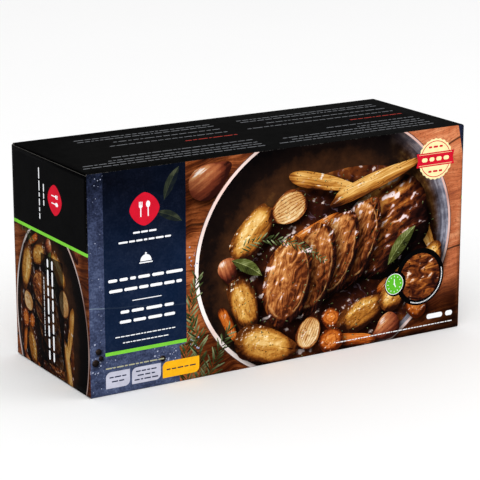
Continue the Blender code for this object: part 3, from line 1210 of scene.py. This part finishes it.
frontPrint = {
    # boxes are left, top, right and bottom, and may have the radius and steps of their corners
    "panel": (10.3, -2.0, 63.0, 104.6),
    "bar": (10.3, 104.5, 63.0, 106.6),
    "slate": [(-1, -1), (63, -1), (63, 107)],
    "slateFoot": (59.0, 0.06, 0.8, 0.45),      # its edge's place, lean, waves' reach and their pace
    "slateCorner": [(255.4, -1.0), (261.0, -1.0), (261.0, 26.0)],
    "rule": (28.0, 75.9, 46.7, 76.4),
    "badge": ((36.5, 24.0), 9.6),
    "cloche": ((37.0, 52.5), 3.6),
    "tags": [
        ("lilac", (10.3, 116.3, 25.7, 126.0)), ("lilac", (27.0, 116.3, 45.8, 126.0)),
        ("yellow", (47.0, 116.3, 71.3, 126.0))],
    "tagCorners": (3.2, 0.0, 3.2, 0.0),
    "wordSpace": 0.7,                # in heights
    "words": [
        # ink, height, rows
        ("white", 1.1, [(29.0, 37.0, 44.0), (19.7, 41.7, 53.3)]),
        ("white", 1.8, [(12.8, 63.0, 60.8), (13.3, 69.1, 60.2)]),
        ("white", 1.8, [(20.3, 82.1, 54.7), (19.7, 87.9, 55.5)]),
        ("white", 0.6, [(16.7, 96.5, 55.5), (21.5, 100.3, 51.0)]),
        ("straw", 0.8, [(10.3, 114.0, 48.0)]),
        ("navyInk", 0.8, [
            (12.5, 119.6, 23.5), (14.0, 122.2, 22.0), (29.5, 118.8, 43.0), (30.5, 121.3, 42.0),
            (28.5, 123.8, 44.0), (49.5, 121.2, 69.0)]),
        ("white", 0.6, [(167.0, 125.0, 254.7)]),
    ],
    "weight": [(235.0, 118.0, 247.0, 121.2, 1.4, 4), (249.4, 118.0, 254.7, 121.2, 1.4, 4)],
    "seal": ((238.7, 19.3), 12.7),
    "loupe": [
        # ink, centre, radius, corners
        ("jet", (229.0, 92.7), 18.3, 72), ("crust", (229.0, 92.7), 15.0, 64),
        ("jet", (210.4, 94.4), 8.0, 48)],
    "dots": {"centre": (229.0, 92.7), "count": 36, "radius": 16.7, "long": 0.8, "wide": 0.8,
             "start": -112.0, "sweep": 128.0},
    "dial": ((209.7, 94.5), 6.3),
    "ghosts": [((53.5, 11.0), (10.5, 3.4), -62.0), ((52.5, 30.0), (9.0, 3.0), 24.0)],
    "salt": [(-1, -1), (10.3, -1), (10.3, 107), (56, 107), (56, 131), (-1, 131)],
    "grains": (1.6, 0.03, (0.2, 0.9), 4),      # least distance apart, density, sizes, seed
    "spilt": (0.9, 0.14, (0.4, 1.5)),
    "crumbs": [(0.0, 97.0, 9.0, 116.0), (42.0, 107.5, 56.0, 116.0), (65.0, 50.0, 70.5, 62.0),
               (64.0, 104.0, 72.0, 112.0)],
    "peppercorns": [(6.0, 103.0, 1.9), (4.0, 109.4, 2.2), (7.4, 107.0, 1.5), (47.0, 113.8, 1.8)],
}


def layFront(sheet):
    layMeal(sheet)
    across, lean, reach, pace = frontPrint["slateFoot"]
    foot = [(across - lean * (y - 107) + reach * math.sin(y * pace), y) for y in range(108, 133, 2)]
    sheet.lay("slate", frontPrint["slate"] + foot + [(-1, 132)])
    sheet.crumbs("salt", frontPrint["salt"], *frontPrint["grains"])
    for number, field in enumerate(frontPrint["crumbs"]):
        sheet.crumbs("salt", boxOutline(*field), *frontPrint["spilt"], 60 + number)
    for x, y, size in frontPrint["peppercorns"]:
        sheet.drop((x, y), (size, size), 0.0, 0.8, (0.6, 0.8))
        sheet.stamp("peppercorn", roundOutline(18, 0.05, int(y)), (x, y), size)
    sheet.box("navyPanel", *frontPrint["panel"])
    for number, axes in enumerate(frontPrint["ghosts"]):
        sheet.stamp("ghost", roundOutline(40, seed=number, **forms["leaf"]), *axes)
    sheet.box("lime", *frontPrint["bar"])
    sheet.lay("slate", frontPrint["slateCorner"])
    layBadge(sheet, *frontPrint["badge"])
    layCloche(sheet, *frontPrint["cloche"])
    sheet.box("white", *frontPrint["rule"])
    for name, measures in frontPrint["tags"]:
        sheet.box(name, *measures, frontPrint["tagCorners"], 6)
    for number, (name, height, rows) in enumerate(frontPrint["words"]):
        sheet.words(name, rows, height, number, space=frontPrint["wordSpace"])
    for measures in frontPrint["weight"]:
        sheet.box("white", *measures)
    laySeal(sheet, *frontPrint["seal"])
    for measures in frontPrint["loupe"]:
        sheet.disc(*measures)
    sheet.grow("white", "ringMarks", **frontPrint["dots"])
    layDial(sheet, *frontPrint["dial"])


topPrint = {
    "words": (1.4, 6.0, 0.6),        # least and most length and the space, in heights
    "height": 1.2,
    "rows": {
        "grey": [
            (33.0, 15.8, 126.0), (33.0, 20.8, 126.0), (52.0, 30.0, 125.0), (45.0, 39.0, 125.0),
            (32.0, 66.0, 126.0), (26.0, 73.0, 125.0), (7.5, 78.0, 125.0), (5.0, 83.3, 124.0),
            (145.0, 15.8, 247.0), (145.0, 20.8, 247.0), (158.0, 30.0, 247.0), (139.0, 39.0, 247.0),
            (182.0, 61.0, 247.0), (200.0, 67.5, 247.0), (143.0, 72.5, 247.0), (146.0, 78.0, 247.0),
            (134.0, 83.3, 246.0)],
        "brick": [(90.0, 48.8, 126.0), (207.5, 48.8, 247.0)],
    },
}
basePrint = {
    "left": 14.0,
    "top": 12.0,
    "apart": 4.6,
    "rows": (92, 96, 88, 95, 60, 0, 94, 90, 96, 72, 0, 92, 95, 84, 50),      # lengths, 0 for a gap
    "table": (150.0, 12.0, 246.0, 84.0),
    "tableRows": 9,
    "columns": (0.0, 0.56, 0.78, 1.0),
    "line": 0.3,
    "cells": [
        # where a column's words start, and the places that take turns as their end
        (2.5, (46.0, 26.0, 26.0)), (3.0, (13.0, 16.0)), (3.0, (11.0, 14.0, 17.0))],
}


def layBase(sheet):
    # Rows of words, and a plain ruled table
    start, first, apart = [basePrint[key] for key in ("left", "top", "apart")]
    sheet.words("grey", [(start, first + apart * k, start + long)
                         for k, long in enumerate(basePrint["rows"]) if long], 1.7, 50)
    left, top, right, bottom = basePrint["table"]
    count, line = basePrint["tableRows"], basePrint["line"]
    sheet.box("grey", left, top, right, bottom)
    step = (bottom - top) / count
    stops = [left + (right - left) * share for share in basePrint["columns"]]
    for row in range(count):
        level = top + row * step
        for near, far in zip(stops, stops[1:]):
            sheet.box("black", near + line, level + line, far - line, level + step - line)
    middle = [top + (row + 0.5) * step for row in range(count)]
    cells = [(side + start, y, side + ends[k % len(ends)])
             for side, (start, ends) in zip(stops, basePrint["cells"]) for k, y in enumerate(middle)]
    sheet.words("grey", cells, 1.6, 51)


endPrint = {
    "black": (-1.0, -1.0, 97.0, 45.1),
    "bar": (-1.0, 45.0, 97.0, 47.0),
    "dusk": ((-1.0, 46.0, 97.0, 131.0), 0.45),
    "film": ((36.3, 58.0, 65.0, 123.3), 0.86),
    # columns of words: ink, height, place across, top and bottom
    "columns": [
        ("white", 1.1, 42.5, 16.0, 29.0), ("white", 1.1, 36.7, 7.5, 38.0),
        ("white", 1.8, 51.0, 60.0, 121.0), ("white", 1.8, 45.2, 60.0, 121.0),
        ("white", 0.6, 39.8, 72.0, 108.0)],
    "badge": ((56.7, 22.8), 9.0, 90.0),
    "shrink": (1 / 1.68, 1 / 1.42),      # of the picture, across and along
    "from": (84.0, 146.0),       # the picture's place that lies at the left edge
    "below": 47.5,               # how far down it lies
}


def layEnd(sheet):
    # The picture is turned upright, then the words
    (across, along), (x, y), down = [endPrint[key] for key in ("shrink", "from", "below")]
    sheet.move = Matrix(((0.0, -across, y * across), (along, 0.0, down - x * along), (0, 0, 1)))
    layMeal(sheet)
    sheet.move = Matrix.Identity(3)
    sheet.film(*endPrint["dusk"])
    sheet.film(*endPrint["film"])
    sheet.box("jet", *endPrint["black"])
    sheet.box("lime", *endPrint["bar"])
    layBadge(sheet, *endPrint["badge"])
    sheet.move = Matrix(((0.0, -1.0, 0.0), (1.0, 0.0, 0.0), (0.0, 0.0, 1.0)))
    for number, (name, height, across, top, bottom) in enumerate(endPrint["columns"]):
        sheet.words(name, [(top, -across, bottom)], height, number + 20, space=frontPrint["wordSpace"])
    sheet.move = Matrix.Identity(3)


def layTop(sheet):
    for number, (name, rows) in enumerate(topPrint["rows"].items()):
        sheet.words(name, rows, topPrint["height"], number + 40, *topPrint["words"])


def buildPanels():
    skin, fold, board, gap = [carton[key] for key in ("skin", "fold", "board", "gap")]
    edge, half, bent = skin + fold, fold * math.pi / 4, fold * math.pi / 2
    start, inset, cut = edge - half, edge + board + gap, skin + carton["reveal"]
    seam = edge + faces["base"][4] - bent - carton["tuck"]       # the base runs on behind the back
    for piece, face, ground, layPrint, (left, top, right, bottom) in (
            # how far each sheet stays inside its face
            ("frontPanel", "front", "wood", layFront, (edge, start, edge, start)),
            ("backPanel", "back", "wood", layFront, (inset, start, inset, cut)),
            ("topPanel", "top", "black", layTop, (inset, start, inset, start)),
            ("basePanel", "base", "black", layBase, (inset, start, inset, seam)),
            ("leftFlap", "left", "wood", layEnd, (cut, cut, edge - bent, cut)),
            ("rightFlap", "right", "wood", layEnd, (edge - bent, cut, cut, cut))):
        sheet = Sheet(face, ground)
        layPrint(sheet)
        wide, tall = sheet.size
        sheet.build(piece, (left, top, wide - right, tall - bottom))


def foldedStrip(name, profile, along, stops, material):
    # A strip of board: its outline, with the printed side first, carried along an axis
    mesh = bmesh.new()
    ends = [[mesh.verts.new(Vector(point) + Vector(along) * stop) for point in profile] for stop in stops]
    here, there = ends
    count = len(profile)
    for i in range(count):
        side = mesh.faces.new((here[i], here[i - 1], there[i - 1], there[i]))
        side.material_index = 0 if 0 < i < count // 2 else 1
    for end in ends:
        for i in range(count // 2 - 1):
            corners = [end[k] for k in (i, i + 1, count - 2 - i, count - 1 - i)]
            mesh.faces.new(corners).material_index = 1
    bmesh.ops.recalc_face_normals(mesh, faces=mesh.faces)
    settle(addPiece(name, mesh, [finish[material], finish["bare"]]))


def buildTucks():
    # The inner flaps: a fold at both ends of the top, back and base, and a strip behind the flap
    skin, fold, board, tuck, gap = [
        carton[key] * mm for key in ("skin", "fold", "board", "tuck", "gap")]
    bend = span.x / 2 - skin - board - gap - fold
    steps = carton["foldSteps"] * 2
    for label, level, inward, along, ends, material in (
            ("top", high.z - skin, -1.0, (0, 1, 0), (low.y, high.y), "black"),
            ("base", low.z + skin, 1.0, (0, 1, 0), (low.y, high.y), "black"),
            ("back", high.y - skin, -1.0, (0, 0, 1), (low.z, high.z), "wood")):
        room = skin + fold + carton["tuckRoom"] * mm
        mitre = tuck + fold if label != "back" else 0.0
        for side, sign in (("Left", -1.0), ("Right", 1.0)):
            rows = []
            for radius in (fold, fold - board):
                turns = [math.radians(90.0 - 90.0 * k / steps) for k in range(steps + 1)]
                curve = [(radius * math.cos(t), radius * math.sin(t)) for t in turns]
                rows.append([(sign * (bend + out), level + inward * (fold - up))
                             for out, up in curve + [(radius, -tuck)]])
            profile = [(x, 0.0, depth) if label != "back" else (x, depth, 0.0)
                       for x, depth in rows[0] + rows[1][::-1]]
            foldedStrip(label + side + "Tuck", profile, along,
                        (ends[0] + room, ends[1] - room - mitre), material)


buildPanels()
buildTucks()
print("panels: printed and folded")


# Stage, light and camera

studio = {
    "floorRadius": 7.0,
    "floor": (254, 254, 254),
    "unevenness": 0.015,
    "fill": 0.86,             # the room's even light
    "gleam": 0.25,            # how much of the room a glossy surface mirrors
    "aim": (0.0, 0.0, 0.05),
    "keys": [
        # place, size, watts
        ((-1.9, -2.6, 2.6), 2.4, 50.0),
        ((2.2, -1.6, 1.7), 2.0, 12.0),
    ],
}
photoView = {
    "place": (-0.6031, -0.9867, 0.3774),
    "yaw": 31.36,             # to the right of +Y
    "pitch": 15.18,           # downwards
    "lens": 147.66,
    "sensor": 36.0,
    "farthest": 50.0,
}


def addView(name, data, place, forward):
    # A lamp or a camera that looks one way
    item = bpy.data.objects.new(name, data)
    item.location = place
    item.rotation_euler = forward.to_track_quat("-Z", "Y").to_euler()
    bpy.context.scene.collection.objects.link(item)
    return item


def buildStage():
    mesh = bmesh.new()
    bmesh.ops.create_circle(mesh, cap_ends=True, segments=96, radius=studio["floorRadius"])
    material, book, at = newMaterial("floorPaper")
    shaded = book.mix(studio["unevenness"], studio["floor"], (0, 0, 0))
    tone = book.mix(book.noise(at, 3.0) + 0.5, shaded, studio["floor"])
    closeMaterial(book, {"Base Color": tone, "Roughness": 0.9, "Specular IOR Level": 0.1})
    addPiece("floor", mesh, [material])


def buildLight():
    world = bpy.data.worlds.new("room")
    world.use_nodes = True
    world.node_tree.nodes.clear()
    book = Book(world.node_tree)
    seen = book.add("ShaderNodeLightPath")
    mirrored = book.also(seen, "Is Glossy Ray")
    strength = book.maths("MAXIMUM", seen, studio["fill"] * (1 - mirrored * (1 - studio["gleam"])))
    light = book.add("ShaderNodeBackground", {"Color": (1.0, 1.0, 1.0, 1.0), "Strength": strength})
    book.add("ShaderNodeOutputWorld", {"Surface": light})
    bpy.context.scene.world = world
    for number, (place, size, watts) in enumerate(studio["keys"]):
        data = bpy.data.lights.new("key" + str(number), "AREA")
        data.shape = "DISK"
        data.size = size
        data.energy = watts
        addView(data.name, data, place, Vector(studio["aim"]) - Vector(place))
    bpy.context.scene.view_settings.view_transform = "Standard"


def buildCamera():
    data = bpy.data.cameras.new("camera")
    data.lens = photoView["lens"]
    data.sensor_width = photoView["sensor"]
    data.clip_end = photoView["farthest"]
    yaw, pitch = math.radians(photoView["yaw"]), math.radians(photoView["pitch"])
    forward = Vector((
        math.sin(yaw) * math.cos(pitch), math.cos(yaw) * math.cos(pitch), -math.sin(pitch)))
    bpy.context.scene.camera = addView("camera", data, photoView["place"], forward)


buildStage()
buildLight()
buildCamera()
print("stage, light and camera: set")

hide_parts("carton")
